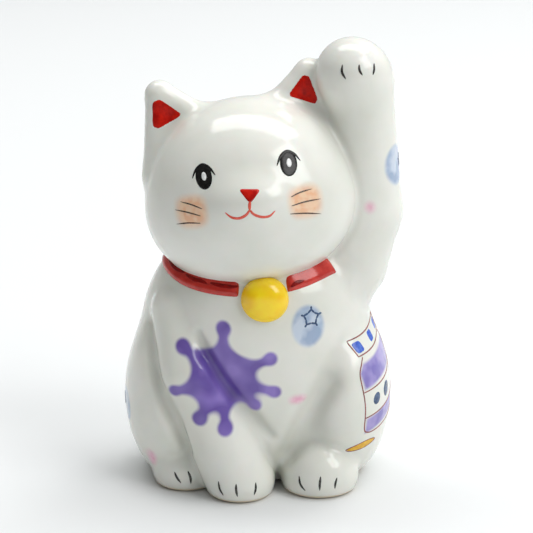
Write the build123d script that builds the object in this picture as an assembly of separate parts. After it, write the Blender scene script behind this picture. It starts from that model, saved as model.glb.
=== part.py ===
from build123d import *
import os

# Beckoning cat figurine, seated, one forepaw raised. Millimetres.
# +Z up, the cat faces -Y, its own left side is +X. The sizes below are laid
# out from the body's axis; the finished pieces are then moved so that the
# origin is on the table, under the middle of the figurine's box.
#
# The cat is slip-cast in porcelain: thin walls all round, limbs, ears, tail,
# collar and bell luted on, one opening in the base for the slip to drain and
# the gases to leave, and a soft stopper pressed into that opening.

# ---- walls ------------------------------------------------------------------
WALL = 3.0                       # cast wall of the body, head and raised arm
FLOOR = 4.5                      # thickness of the base, foot recess included
FAR = 300.0                      # larger than the figurine in every direction
TO_MIDDLE = (-1.25, 0.15, 0.0)   # from the body's axis to the middle of the whole box

# ---- body: centre and half axes of each swelling -----------------------------
CHEST_AT = (-0.5, -0.5, 42.0)
CHEST = (26.5, 19.5, 23.0)
BACK_AT = (0.0, 4.0, 40.0)
BACK = (22.5, 18.0, 27.0)
BELLY_AT = (0.0, 1.5, 17.0)      # cut off flat by the table
BELLY = (30.0, 23.0, 38.0)
HAUNCH_AT = (21.0, -1.0, 21.0)   # cat's left; the right one mirrors it in X
HAUNCH = (12.2, 18.0, 22.0)

# ---- foot recess and drain opening in the base --------------------------------
RECESS = (20.6, 14.6)            # half axes of the hollow inside the foot ring
RECESS_DEPTH = 2.0
RECESS_Y = 1.5
DRAIN_R = 7.0
DRAIN_Y = 1.5

# ---- head, leaning towards the cat's right and looking slightly up ------------
HEAD_AT = (-1.9, -3.5, 72.6)
HEAD_LEAN = -8.5
HEAD_TILT = -8.0
SKULL = (25.2, 22.5, 22.6)
MUZZLE_OFF = (0.8, -18.0, -0.5)
MUZZLE = (9.5, 6.4, 6.0)

# ---- ears: four corners in the head's own axes, cat's left -------------------
EAR_TIP = (20.4, 1.0, 29.2)
EAR_INNER = (1.5, -0.5, 21.5)
EAR_OUTER = (24.6, -1.0, 3.5)
EAR_BACK = (11.5, 12.5, 12.0)
EAR_ROUND = 1.9

# ---- raised arm: elbow, widest place and wrist, each with its radius ------------
ARM = (
    ((23.2, 1.0, 54.0), 9.2),
    ((25.4, 1.0, 69.0), 10.3),
    ((23.5, -0.4, 95.5), 8.3),
)
PAW_UP_AT = (22.9, -1.8, 100.5)
PAW_UP = (8.6, 9.2, 8.5)
ARM_WALL = 2.6

# ---- lowered foreleg and its paw, cat's right -----------------------------------
LEG_TOP = (-17.0, -9.0, 41.0)
LEG_LOW = (-6.0, -17.0, 9.0)
LEG_TOP_R = 7.8
LEG_LOW_R = 8.0
PAW_AT = (-4.3, -18.8, 3.6)
PAW = (8.8, 9.0, 7.6)

# ---- hind feet -------------------------------------------------------------------
FOOT_LEFT_AT = (15.6, -15.5, 3.4)
FOOT_LEFT = (10.2, 9.2, 7.6)
FOOT_RIGHT_AT = (-18.6, -10.5, 3.4)
FOOT_RIGHT = (9.4, 9.2, 7.8)

# ---- tail, lying up the back -------------------------------------------------------
TAIL_ROOT = (3.0, 22.5, 6.5)
TAIL_END = (12.0, 21.0, 16.0)
TAIL_ROOT_R = 5.0
TAIL_END_R = 4.0

# ---- collar band and bell ------------------------------------------------------------
BAND_RAISE = 1.5                 # how far the band stands off the neck
BAND_HIGH = 4.0
BAND_AT = (0.0, -1.0, 53.3)
BAND_LEAN = -3.0
BAND_TILT = 7.5
BELL_AT = (1.9, -18.9, 48.6)
BELL = (5.9, 4.4, 5.7)

# ---- base stopper ---------------------------------------------------------------------
STOPPER_FIT = 0.05               # radial clearance of the plug in the opening
STOPPER_FLANGE_R = 8.6
STOPPER_FLANGE = 1.0
STOPPER_LONG = 4.5               # plug above its flange
STOPPER_GAP = 0.05               # flange to the recess face
TAB = (3.0, 6.0)                 # finger recess in the flange: wide, long


def ellipsoid(at, half):
    """Solid ellipsoid with its half axes along X, Y and Z."""
    return Pos(*at) * scale(Sphere(1.0), by=half)


def grown(half, by):
    """Half axes made larger by the same amount all round."""
    return tuple(h + by for h in half)


def mirrored(at):
    """The same place on the cat's other side."""
    return (-at[0], at[1], at[2])


def fused(shapes):
    """One solid from overlapping shapes."""
    whole = shapes[0]
    for shape in shapes[1:]:
        whole = whole + shape
    return whole


def capsule(start, end, r_start, r_end):
    """Round limb between two points, with a rounded end at each."""
    a, b = Vector(*start), Vector(*end)
    long = (b - a).length
    plane = Plane(origin=a, z_dir=b - a)
    barrel = Cone(r_start, r_end, long, align=(Align.CENTER, Align.CENTER, Align.MIN))
    ends = (Sphere(r_start), Pos(0, 0, long) * Sphere(r_end))
    return plane.location * (barrel + ends[0] + ends[1])


def in_head(at):
    """Place given in the head's own axes, as a location of the figurine."""
    return Pos(*HEAD_AT) * Rot(Y=HEAD_LEAN) * Rot(X=HEAD_TILT) * Pos(*at)


def above_table(shape):
    """What is left of a shape above the table."""
    return shape - Pos(0, 0, -FAR / 2) * Box(FAR, FAR, FAR)


def main_solid(shape):
    """Largest solid of a cut shape, without the crumbs beside it."""
    return sorted(shape.solids(), key=lambda s: s.volume)[-1]


def body_form(shrink=0.0):
    """Chest, back, belly and both haunches as one form."""
    swellings = (
        (CHEST_AT, CHEST),
        (BACK_AT, BACK),
        (BELLY_AT, BELLY),
        (HAUNCH_AT, HAUNCH),
        (mirrored(HAUNCH_AT), HAUNCH),
    )
    return fused([ellipsoid(at, grown(half, -shrink)) for at, half in swellings])


def head_form(shrink=0.0):
    """Round head and muzzle as one form."""
    swellings = (((0, 0, 0), SKULL), (MUZZLE_OFF, MUZZLE))
    form = fused([ellipsoid(at, grown(half, -shrink)) for at, half in swellings])
    return in_head((0, 0, 0)) * form


def arm_form(shrink=0.0):
    """Raised arm and paw as one form."""
    lengths = [
        capsule(start, end, r_start - shrink, r_end - shrink)
        for (start, r_start), (end, r_end) in zip(ARM, ARM[1:])
    ]
    return fused([*lengths, ellipsoid(PAW_UP_AT, grown(PAW_UP, -shrink))])


def ear_form(side):
    """Thick three-cornered ear; side is 1 on the cat's left, -1 on its right."""
    tip, inner, outer, back = (
        Vector(side * x, y, z) for x, y, z in (EAR_TIP, EAR_INNER, EAR_OUTER, EAR_BACK)
    )
    walls = [
        Face(Wire.make_polygon(corners))
        for corners in (
            (tip, inner, outer), (tip, inner, back), (tip, outer, back), (inner, outer, back),
        )
    ]
    block = Solid(Shell(walls))
    rounded = fillet(block.edges(), EAR_ROUND)
    return in_head((0, 0, 0)) * rounded


# ---- whole forms, before the pieces are cut back to each other ------------------------
body = body_form()
head = head_form()
arm = arm_form()
foreleg = capsule(LEG_TOP, LEG_LOW, LEG_TOP_R, LEG_LOW_R) + ellipsoid(PAW_AT, PAW)
tail = capsule(TAIL_ROOT, TAIL_END, TAIL_ROOT_R, TAIL_END_R)
bell = ellipsoid(BELL_AT, BELL)

# ---- body casting: thin wall, floor, foot recess and drain opening ---------------------
inside = body_form(WALL) - Pos(0, 0, FLOOR - FAR / 2) * Box(FAR, FAR, FAR)
low_centre = (Align.CENTER, Align.CENTER, Align.MIN)
recess = Pos(0, RECESS_Y, 0) * extrude(Ellipse(*RECESS), RECESS_DEPTH)
drain = Pos(0, DRAIN_Y, 0) * Cylinder(DRAIN_R, FLOOR * 2, align=low_centre)
torso_casting = above_table(body) - inside - recess - drain - head

# ---- head casting and the pieces luted to it -------------------------------------------
head_casting = head - head_form(WALL)
ears = {name: ear_form(side) - head for name, side in (("ear_left", 1), ("ear_right", -1))}

# ---- limbs and tail -----------------------------------------------------------------------
raised_arm = arm - arm_form(ARM_WALL) - body - head - ears["ear_left"]
lowered_foreleg = above_table(foreleg) - body - head
hind_feet = {
    "hind_foot_left": above_table(ellipsoid(FOOT_LEFT_AT, FOOT_LEFT)) - body - foreleg,
    "hind_foot_right": above_table(ellipsoid(FOOT_RIGHT_AT, FOOT_RIGHT)) - body - foreleg,
}
tail = above_table(tail) - body

# ---- collar band: a raised strip round the neck, broken by the bell and the arm ------------
slab = Pos(*BAND_AT) * Rot(Y=BAND_LEAN) * Rot(X=BAND_TILT) * Box(FAR, FAR, BAND_HIGH)
neck = fused([
    ellipsoid(CHEST_AT, grown(CHEST, BAND_RAISE)),
    ellipsoid(BACK_AT, grown(BACK, BAND_RAISE)),
])
band = (neck & slab) - body - head - arm - bell
bell = bell - body - head

# ---- stopper: plug, flange and a finger recess across the flange ---------------------------
flange_low = RECESS_DEPTH - STOPPER_GAP - STOPPER_FLANGE
flange = Pos(0, DRAIN_Y, flange_low) * Cylinder(STOPPER_FLANGE_R, STOPPER_FLANGE, align=low_centre)
plug = Pos(0, DRAIN_Y, flange_low) * Cylinder(
    DRAIN_R - STOPPER_FIT, STOPPER_FLANGE + STOPPER_LONG, align=low_centre
)
grip = Pos(0, DRAIN_Y, flange_low) * Box(*TAB, STOPPER_FLANGE, align=low_centre)
base_stopper = flange + plug - grip

pieces = {
    "torso_casting": torso_casting,
    "head_casting": head_casting,
    **ears,
    "raised_arm": raised_arm,
    "lowered_foreleg": lowered_foreleg,
    **hind_feet,
    "tail": tail,
    "bell": bell,
    "base_stopper": base_stopper,
}
strips = sorted(band.solids(), key=lambda s: s.volume)[-2:]
strips.sort(key=lambda s: s.center().Y)
pieces["collar_front"] = strips[0]
pieces["collar_back"] = strips[1]

os.makedirs("parts", exist_ok=True)
for name, piece in pieces.items():
    solid = Pos(*TO_MIDDLE) * main_solid(piece)
    export_step(solid, f"parts/{name}.step")
    box = solid.bounding_box()
    print(f"{name:18s} {solid.volume:10.1f} mm3  {box.min} .. {box.max}")
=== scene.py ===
import logging
from dataclasses import dataclass, field
from enum import Enum
from math import cos, pi, radians, sin
from typing import Callable, Sequence

import bpy
import numpy as np
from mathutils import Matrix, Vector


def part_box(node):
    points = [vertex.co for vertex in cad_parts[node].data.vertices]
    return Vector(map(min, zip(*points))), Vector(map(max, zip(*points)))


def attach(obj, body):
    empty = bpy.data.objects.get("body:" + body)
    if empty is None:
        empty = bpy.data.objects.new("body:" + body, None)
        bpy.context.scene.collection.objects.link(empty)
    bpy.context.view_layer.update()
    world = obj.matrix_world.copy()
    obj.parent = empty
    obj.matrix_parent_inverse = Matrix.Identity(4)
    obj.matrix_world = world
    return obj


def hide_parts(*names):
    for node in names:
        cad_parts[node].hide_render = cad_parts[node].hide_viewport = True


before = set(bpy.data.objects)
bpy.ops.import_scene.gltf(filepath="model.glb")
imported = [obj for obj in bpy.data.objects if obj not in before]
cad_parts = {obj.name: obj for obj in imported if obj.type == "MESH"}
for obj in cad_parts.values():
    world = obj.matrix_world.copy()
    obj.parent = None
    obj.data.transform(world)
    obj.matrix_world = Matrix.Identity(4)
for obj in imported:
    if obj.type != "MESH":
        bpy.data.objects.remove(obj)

import openvdb
from mathutils import Vector

LOG = logging.getLogger("beckoning_cat")
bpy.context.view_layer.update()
MM = 0.001
AWAY = 60.0  # how far from the cat's axis every drawing sheet stands, mm
FAR = 20.0  # stands for "nowhere near" in a wash's distances, mm
UP = np.array([0, 0, 1.0])
FIGURINE = "figurine"  # the body that the glaze and everything painted on it ride on

Array = np.ndarray
Distance = Callable[[Array], Array]
Point2 = tuple[float, float]
Point3 = tuple[float, float, float]
Shell = tuple[Array, list]  # corners and faces of a closed mesh
Socket = bpy.types.NodeSocket
Material = bpy.types.Material


class Wash(Enum):
    """Soft colours that the painter sprays or floats on, a darker purple painted as shade along the chest
    crease, and the glaze's pooling with painted shade in the creases.
    """

    PURPLE = "wash_purple"
    GROOVE_SHADE = "wash_purple_groove_shade"
    BLUE = "wash_blue"
    PINK = "wash_pink"
    BLUSH = "wash_blush"
    JAM = "wash_jam"
    POOL_SHADE = "glaze_pool_shade"


# ---------------------------------------------------------------- solid geometry


def smooth_union(a: Array, b: Array, blend: float) -> Array:
    """Join two distance fields with a fillet of wet clay.

    Args:
        a: distances to the first form, mm.
        b: distances to the second form, mm.
        blend: width over which the two run together, mm.

    Returns:
        Distances to the joined form.
    """
    h = np.maximum(blend - np.abs(a - b), 0.0) / blend
    return np.minimum(a, b) - h * h * blend * 0.25


def smooth_cut(a: Array, b: Array, blend: float) -> Array:
    """Keep what lies inside both fields, with a softened edge."""
    return -smooth_union(-a, -b, blend)


def turn(x: float = 0.0, y: float = 0.0, z: float = 0.0) -> Array:
    """Rotation matrix, about X first, then Y, then Z.

    Args:
        x: degrees about X.
        y: degrees about Y.
        z: degrees about Z.

    Returns:
        A 3 by 3 matrix.
    """
    cx, sx, cy, sy, cz, sz = (f(radians(v)) for v in (x, y, z) for f in (cos, sin))
    rx = np.array([[1, 0, 0], [0, cx, -sx], [0, sx, cx]])
    ry = np.array([[cy, 0, sy], [0, 1, 0], [-sy, 0, cy]])
    rz = np.array([[cz, -sz, 0], [sz, cz, 0], [0, 0, 1]])
    return rz @ ry @ rx


@dataclass(frozen=True)
class Swelling:
    """Ellipsoid of clay: where it sits and its half axes, in mm."""

    at: Point3
    half: Point3

    def distance(self, p: Array) -> Array:
        """Distance from each point to the swelling's skin."""
        q = p - np.array(self.at, p.dtype)
        r = np.array(self.half, p.dtype)
        k0 = np.linalg.norm(q / r, axis=-1)
        k1 = np.linalg.norm(q / (r * r), axis=-1)
        return k0 * (k0 - 1.0) / np.maximum(k1, 1e-6)


@dataclass(frozen=True)
class Limb:
    """Round limb that tapers from one place to another, in mm."""

    start: Point3
    end: Point3
    r_start: float
    r_end: float

    def distance(self, p: Array) -> Array:
        """Distance from each point to the limb's skin."""
        a, b = np.array(self.start, p.dtype), np.array(self.end, p.dtype)
        ab = b - a
        t = np.clip(((p - a) @ ab) / (ab @ ab), 0, 1)
        near = a + t[..., None] * ab
        return np.linalg.norm(p - near, axis=-1) - (self.r_start + (self.r_end - self.r_start) * t)


@dataclass(frozen=True)
class Leaf:
    """Flat three-cornered sheet of clay with rounded edges, in mm."""

    corners: tuple[Point3, Point3, Point3]
    round: float

    def distance(self, p: Array) -> Array:
        """Distance from each point to the sheet's skin."""
        a, b, c = (np.array(v, p.dtype) for v in self.corners)
        normal = np.cross(b - a, c - a)
        inside = np.ones(p.shape[:-1], bool)
        edges = np.full(p.shape[:-1], np.inf, p.dtype)
        for u, v in ((a, b), (b, c), (c, a)):
            e, q = v - u, p - u
            inside &= q @ np.cross(normal, e) >= 0
            t = np.clip((q @ e) / (e @ e), 0, 1)
            gap = q - t[..., None] * e
            edges = np.minimum(edges, np.einsum("...i,...i->...", gap, gap))
        flat = ((p - a) @ normal) ** 2 / (normal @ normal)
        return np.sqrt(np.where(inside, flat, edges)) - self.round


# ---------------------------------------------------------------- the cat's form


@dataclass
class CatForm:
    """The whole glazed form. Sizes in mm from the body's axis on the table, cat facing -Y."""

    head_at: Point3 = (-1.9, -3.5, 72.6)
    head_lean: Point3 = (-8.0, -8.5, 0.0)
    skull: Point3 = (25.0, 22.5, 22.6)
    jowls: Swelling = Swelling((0.0, -1.0, -4.5), (25.0, 21.5, 18.0))
    muzzle: Swelling = Swelling((0.8, -19.6, -0.9), (8.6, 6.3, 5.3))
    ear_tip: Point3 = (18.2, 1.0, 25.6)
    ear_inner: Point3 = (9.0, 0.5, 18.4)
    ear_outer: Point3 = (21.6, 0.0, 7.0)
    ear_back: Point3 = (12.0, 9.0, 15.0)
    ear_round: float = 2.9
    chest: Swelling = Swelling((-0.5, -0.5, 42.0), (26.5, 19.5, 23.0))
    belly: Swelling = Swelling((0.0, 1.5, 22.0), (30.0, 22.6, 29.0))
    haunch_at: Point3 = (20.4, -2.6, 20.5)
    haunch: Point3 = (12.8, 18.4, 22.5)
    foot_left: Swelling = Swelling((15.2, -15.7, 4.0), (9.7, 9.3, 8.9))
    foot_right: Swelling = Swelling((-17.6, -11.2, 4.0), (8.7, 9.3, 9.0))
    leg: tuple[Limb, Limb] = (
        Limb((-20.3, -9.6, 44.0), (-16.2, -15.4, 30.0), 5.6, 7.7),
        Limb((-16.2, -15.4, 30.0), (-7.0, -18.6, 10.0), 7.7, 8.5),
    )
    paw: Swelling = Swelling((-4.3, -18.8, 3.5), (8.6, 9.0, 7.5))
    arm: tuple[Limb, Limb] = (
        Limb((23.0, 1.0, 52.5), (25.7, 1.0, 66.5), 9.2, 9.8),
        Limb((25.7, 1.0, 66.5), (24.3, 0.5, 97.0), 9.8, 8.5),
    )
    paw_up: Swelling = Swelling((22.6, -2.2, 100.9), (8.7, 9.0, 8.6))
    tail: tuple[Limb, Limb, Limb] = (
        Limb((-1.5, 21.6, 5.0), (6.5, 22.6, 8.0), 4.2, 4.8),
        Limb((6.5, 22.6, 8.0), (12.6, 20.9, 14.5), 4.8, 4.5),
        Limb((12.6, 20.9, 14.5), (13.6, 19.6, 20.5), 4.5, 3.4),
    )
    creases: tuple[tuple[tuple[Point2, ...], float, float], ...] = (
        (((-14.2, 40.5), (-12.4, 36.0), (-9.0, 30.6), (-5.6, 25.8), (-1.0, 20.5), (3.4, 15.0)), 1.0, 2.2),
        (((7.6, 9.5), (10.4, 16.0), (13.4, 22.0), (17.4, 28.0)), 0.4, 5.5),
        (((-26.3, 40.0), (-25.6, 33.0), (-23.4, 26.0), (-19.9, 18.7), (-16.8, 12.0)), 0.8, 3.0),
    )
    crease_tip: float = 0.3
    recess: Point2 = (20.6, 14.6)
    recess_y: float = 1.5
    recess_deep: float = 2.0
    drain_r: float = 7.0
    drain_deep: float = 10.0
    jowl_blend: float = 4.0
    muzzle_blend: float = 4.2
    ear_wall_blend: float = 2.0
    ear_blend: float = 3.4
    neck_blend: float = 1.4
    waist_blend: float = 12.0
    haunch_blend: float = 2.2
    foot_blend: float = 1.6
    knee_blend: float = 2.0
    wrist_blend: float = 3.0
    leg_blend: float = 1.5
    elbow_blend: float = 1.5
    paw_up_blend: float = 4.5
    shoulder_blend: float = 4.2
    tail_blend: float = 2.6
    table_edge: float = 1.2
    recess_edge: float = 0.8

    def __post_init__(self) -> None:
        """Find where the creases that the modeller presses beside the leg and haunch lie."""
        self.pressed: list[tuple[Limb, float]] = []
        for places, r, blend in self.creases:
            found = front_easel().onto(self.limbs_uncreased, places)
            line = [tuple(map(float, q)) for q in found]
            radii = [self.crease_tip] + [r] * (len(line) - 2) + [self.crease_tip]
            for a, b, ra, rb in zip(line, line[1:], radii, radii[1:]):
                self.pressed.append((Limb(a, b, ra, rb), blend))

    def in_head(self, points: Array) -> Array:
        """Turn places given in the head's own axes into places on the cat."""
        return np.asarray(self.head_at) + np.asarray(points, float) @ turn(*self.head_lean).T

    def head_axis(self, direction: Point3) -> Array:
        """Turn a direction given in the head's own axes into one on the cat."""
        return turn(*self.head_lean) @ np.array(direction)

    def ear(self, p: Array, side: int) -> Array:
        """Distance to one ear, in the head's own axes; side is 1 on the cat's left."""
        mirror = np.array((side, 1, 1), p.dtype)
        q = p * mirror
        walls = (
            (self.ear_tip, self.ear_inner, self.ear_outer),
            (self.ear_tip, self.ear_inner, self.ear_back),
            (self.ear_tip, self.ear_outer, self.ear_back),
        )
        d = Leaf(walls[0], self.ear_round).distance(q)
        for wall in walls[1:]:
            d = smooth_union(d, Leaf(wall, self.ear_round).distance(q), self.ear_wall_blend)
        return d

    def head(self, p: Array) -> Array:
        """Distance to the head with its ears."""
        q = (p - np.array(self.head_at, p.dtype)) @ turn(*self.head_lean).astype(p.dtype)
        d = Swelling((0, 0, 0), self.skull).distance(q)
        d = smooth_union(d, self.jowls.distance(q), self.jowl_blend)
        d = smooth_union(d, self.muzzle.distance(q), self.muzzle_blend)
        for side in (-1, 1):
            d = smooth_union(d, self.ear(q, side), self.ear_blend)
        return d

    def trunk(self, p: Array) -> Array:
        """Distance to the body without limbs or head."""
        d = smooth_union(self.chest.distance(p), self.belly.distance(p), self.waist_blend)
        x, y, z = self.haunch_at
        for side in (-1, 1):
            haunch = Swelling((side * x, y, z), self.haunch).distance(p)
            d = smooth_union(d, haunch, self.haunch_blend)
        return d

    def limbs(self, p: Array) -> Array:
        """Distance to the body and limbs with the creases pressed in."""
        d = self.limbs_uncreased(p)
        near = {}
        for limb, blend in self.pressed:
            gap = limb.distance(p)
            near[blend] = np.minimum(near[blend], gap) if blend in near else gap
        for blend, gap in near.items():
            d = smooth_cut(d, -gap, blend)
        return d

    def limbs_uncreased(self, p: Array) -> Array:
        """Distance to the body with its legs, feet, raised arm and tail."""
        d = self.trunk(p)
        for foot in (self.foot_left, self.foot_right):
            d = smooth_union(d, foot.distance(p), self.foot_blend)
        leg = smooth_union(self.leg[0].distance(p), self.leg[1].distance(p), self.knee_blend)
        leg = smooth_union(leg, self.paw.distance(p), self.wrist_blend)
        d = smooth_union(d, leg, self.leg_blend)
        arm = smooth_union(self.arm[0].distance(p), self.arm[1].distance(p), self.elbow_blend)
        arm = smooth_union(arm, self.paw_up.distance(p), self.paw_up_blend)
        d = smooth_union(d, arm, self.shoulder_blend)
        tail = np.min([limb.distance(p) for limb in self.tail], 0)
        return smooth_union(d, tail, self.tail_blend)

    def underside(self, p: Array) -> Array:
        """Distance to what is hollowed out of the base: foot recess and drain opening."""
        x, y, z = p[..., 0], p[..., 1] - self.recess_y, p[..., 2]
        a, b = self.recess
        oval = (np.sqrt((x / a) ** 2 + (y / b) ** 2) - 1.0) * b
        recess = np.maximum(oval, z - self.recess_deep)
        drain = np.maximum(np.sqrt(x * x + y * y) - self.drain_r, z - self.drain_deep)
        return np.minimum(recess, drain)

    def distance(self, p: Array) -> Array:
        """Distance to the whole form."""
        d = smooth_union(self.limbs(p), self.head(p), self.neck_blend)
        d = smooth_cut(d, -p[..., 2], self.table_edge)
        return smooth_cut(d, -self.underside(p), self.recess_edge)


def slope(form: Distance, p: Array, step: float = 0.05) -> Array:
    """Unit normals of a form at points near its skin."""
    g = np.zeros_like(p)
    for k in range(3):
        o = np.zeros(3, p.dtype)
        o[k] = step
        g[..., k] = form(p + o) - form(p - o)
    return g / np.maximum(np.linalg.norm(g, axis=-1, keepdims=True), 1e-9)


def meet(
    form: Distance,
    start: Array,
    direction: Array,
    reach: float = 120.0,
    steps: int = 90,
    pace: float = 0.9,
) -> Array:
    """March from each start along a direction until the form's skin.

    Args:
        form: distance field of the form.
        start: starting points, mm.
        direction: one direction, or one for each point.
        reach: how far to look, mm.
        steps: how many steps each march takes.
        pace: share of the distance to the form that one step covers.

    Returns:
        The points where each march ends.
    """
    start = np.asarray(start, float)
    way = np.broadcast_to(np.asarray(direction, float), start.shape)
    way = way / np.linalg.norm(way, axis=-1, keepdims=True)
    gone = np.zeros(len(start))
    for _ in range(steps):
        gone = np.minimum(gone + pace * form(start + way * gone[:, None]), reach)
    return start + way * gone[:, None]


# ---------------------------------------------------------------- finishes


def linear(code: str) -> tuple[float, float, float, float]:
    """Turn an sRGB hex colour into the linear values that a shader takes."""
    parts = [int(code[i : i + 2], 16) / 255 for i in (1, 3, 5)]
    r, g, b = (v / 12.92 if v <= 0.04045 else ((v + 0.055) / 1.055) ** 2.4 for v in parts)
    return (r, g, b, 1.0)


class Recipe:
    """A material under construction, node by node."""

    def __init__(self, name: str) -> None:
        """Start an empty material.

        Args:
            name: the finish's common name.
        """
        self.material = bpy.data.materials.new(name)
        self.material.use_nodes = True
        self.nodes = self.material.node_tree.nodes
        self.nodes.clear()
        self.links = self.material.node_tree.links
        self.output = self.nodes.new("ShaderNodeOutputMaterial")
        self.place = self.nodes.new("ShaderNodeTexCoord").outputs["Object"]

    def node(self, kind: str, settings: dict | None = None, **inputs: object) -> bpy.types.Node:
        """Add a node, set it and link it.

        Args:
            kind: the node's type, without the ShaderNode prefix.
            settings: the node's own properties.
            inputs: socket values or links, by name with spaces as underscores, or _0, _1 by place.

        Returns:
            The new node.
        """
        made = self.nodes.new("ShaderNode" + kind)
        for key, value in (settings or {}).items():
            setattr(made, key, value)
        for key, value in inputs.items():
            place = int(key[1:]) if key[0] == "_" else key.replace("_", " ")
            socket = made.inputs[place]
            if isinstance(value, bpy.types.NodeSocket):
                self.links.new(value, socket)
            else:
                socket.default_value = value
        return made

    def noise(self, grain_mm: float, detail: float, **inputs: object) -> Socket:
        """Add a cloudy pattern with grains of about that many mm."""
        scale = 1 / (grain_mm * MM)
        return self.node("TexNoise", Vector=self.place, Scale=scale, Detail=detail, **inputs).outputs["Fac"]

    def blend(self, share: Socket, under: Socket | str, over: Socket | str) -> Socket:
        """Add a blend of two colours.

        Args:
            share: how much of the second shows.
            under: first colour, as a link or a hex code.
            over: second colour.

        Returns:
            The blended colour.
        """
        a, b = (linear(tone) if isinstance(tone, str) else tone for tone in (under, over))
        return self.node("Mix", {"data_type": "RGBA"}, _0=share, _6=a, _7=b).outputs[2]

    def finish(self, shader: bpy.types.Node) -> Material:
        """Close the material with its surface shader."""
        self.links.new(shader.outputs[0], self.output.inputs["Surface"])
        return self.material


@dataclass(frozen=True)
class SprayedWash:
    """One sprayed or floated colour: its two tones, how soft its edge is and how dense it lies."""

    wash: Wash
    light: str
    deep: str
    edge_mm: float
    density: float
    cloud_mm: float
    ragged_mm: float = 0.3


@dataclass(frozen=True)
class GlazedPorcelain:
    """Slip-cast porcelain under a clear feldspar glaze, gloss fired.

    The eye gets a cool grey white, a window of light on every swelling, a faint
    waviness from the glaze, a greyer tone in the creases that is partly glaze pooling
    and partly painted shade, and a dry biscuit-coloured foot where the glaze was wiped off.
    """

    white: str = "#E7E7E0"
    cloud: str = "#E0E1D8"
    pooled_shade: str = "#B4B5AA"
    biscuit: str = "#D9CBB4"
    washes: tuple[SprayedWash, ...] = (
        SprayedWash(Wash.BLUSH, "#F3C9A4", "#EDB183", 1.3, 0.85, 1.6),
        SprayedWash(Wash.PURPLE, "#8871C2", "#634BA2", 0.5, 0.97, 7.0),
        # painted shade: a darker purple laid along the pressed crease that runs through the burst
        SprayedWash(Wash.GROOVE_SHADE, "#543F92", "#3F2C78", 1.4, 0.9, 5.0, 0.1),
        SprayedWash(Wash.BLUE, "#C0CEE0", "#8BA3C6", 0.7, 0.85, 3.4),
        SprayedWash(Wash.JAM, "#9D90CE", "#6F60B6", 0.5, 0.9, 4.0),
        SprayedWash(Wash.PINK, "#F0BCD2", "#E89BBD", 1.1, 0.8, 1.5),
    )
    roughness: float = 0.13
    ior: float = 1.5
    cloud_mm: float = 14.0
    wave_mm: float = 7.0
    foot_mm: float = 0.7
    foot_fade_mm: float = 0.5

    def make(self) -> Material:
        """Build the material."""
        mix = Recipe("glazed_porcelain")
        tone = mix.node("MapRange", Value=mix.noise(self.cloud_mm, 3.0), From_Min=0.35, From_Max=0.65)
        base = mix.blend(tone.outputs[0], self.white, self.cloud)
        # painted shade: the white turns greyer in the creases, partly glaze pooling and partly shade painted
        # into the colour
        pool_shade = mix.node("Attribute", {"attribute_name": Wash.POOL_SHADE.value})
        colour = mix.blend(pool_shade.outputs["Fac"], base, self.pooled_shade)
        for wash in self.washes:
            colour = self.lay(mix, colour, wash)
        foot = mix.node(
            "MapRange",
            Value=mix.node("SeparateXYZ", Vector=mix.place).outputs["Z"],
            From_Min=self.foot_mm * MM,
            From_Max=(self.foot_mm + self.foot_fade_mm) * MM,
            To_Min=1.0,
            To_Max=0.0,
        )
        colour = mix.blend(foot.outputs[0], colour, self.biscuit)
        dry = mix.node("MapRange", Value=foot.outputs[0], To_Min=self.roughness, To_Max=0.7)
        bump = mix.node("Bump", Strength=0.25, Distance=0.3 * MM, Height=mix.noise(self.wave_mm, 2.0))
        shader = mix.node(
            "BsdfPrincipled",
            Base_Color=colour,
            Roughness=dry.outputs[0],
            IOR=self.ior,
            Subsurface_Weight=0.12,
            Subsurface_Scale=1.2 * MM,
            Normal=bump.outputs[0],
        )
        return mix.finish(shader)

    def lay(self, mix: Recipe, under: Socket, wash: SprayedWash) -> Socket:
        """Lay one wash over the colours below it.

        Args:
            mix: the material under construction.
            under: colour below the wash.
            wash: the wash to lay.

        Returns:
            The colour with the wash on it.
        """
        gap = mix.node("Attribute", {"attribute_name": wash.wash.value}).outputs["Fac"]
        cloud = mix.noise(wash.cloud_mm, 1.2, Roughness=0.5)
        reach = wash.ragged_mm
        shift = mix.node("MapRange", {"clamp": False}, Value=cloud, To_Min=-reach, To_Max=reach)
        ragged = mix.node("Math", {"operation": "ADD"}, _0=gap, _1=shift.outputs[0])
        cover = mix.node(
            "MapRange",
            {"interpolation_type": "SMOOTHSTEP"},
            Value=ragged.outputs[0],
            From_Min=wash.edge_mm,
            From_Max=-wash.edge_mm,
            To_Max=wash.density,
        )
        tone = mix.node("MapRange", Value=cloud, From_Min=0.4, From_Max=0.62)
        paint = mix.blend(tone.outputs[0], wash.light, wash.deep)
        return mix.blend(cover.outputs[0], under, paint)


@dataclass(frozen=True)
class Enamel:
    """Overglaze enamel, brushed on the fired glaze and fired again at low heat.

    The eye gets a colour that is denser where the brush paused, and a slightly softer
    gloss than the glaze below.
    """

    name: str
    thin: str
    dense: str
    stroke_mm: float = 1.2
    roughness: float = 0.18
    shine: float = 0.5

    def make(self) -> Material:
        """Build the material."""
        mix = Recipe(self.name)
        brush = mix.noise(self.stroke_mm, 3.0, Roughness=0.6)
        tone = mix.node("MapRange", Value=brush, From_Min=0.36, From_Max=0.62)
        low, high = self.roughness - 0.06, self.roughness + 0.08
        rough = mix.node("MapRange", Value=brush, To_Min=low, To_Max=high)
        bump = mix.node("Bump", Strength=0.3, Distance=0.05 * MM, Height=brush)
        shader = mix.node(
            "BsdfPrincipled",
            Base_Color=mix.blend(tone.outputs[0], self.thin, self.dense),
            Roughness=rough.outputs[0],
            IOR=1.5,
            Specular_IOR_Level=self.shine,
            Normal=bump.outputs[0],
        )
        return mix.finish(shader)


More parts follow.
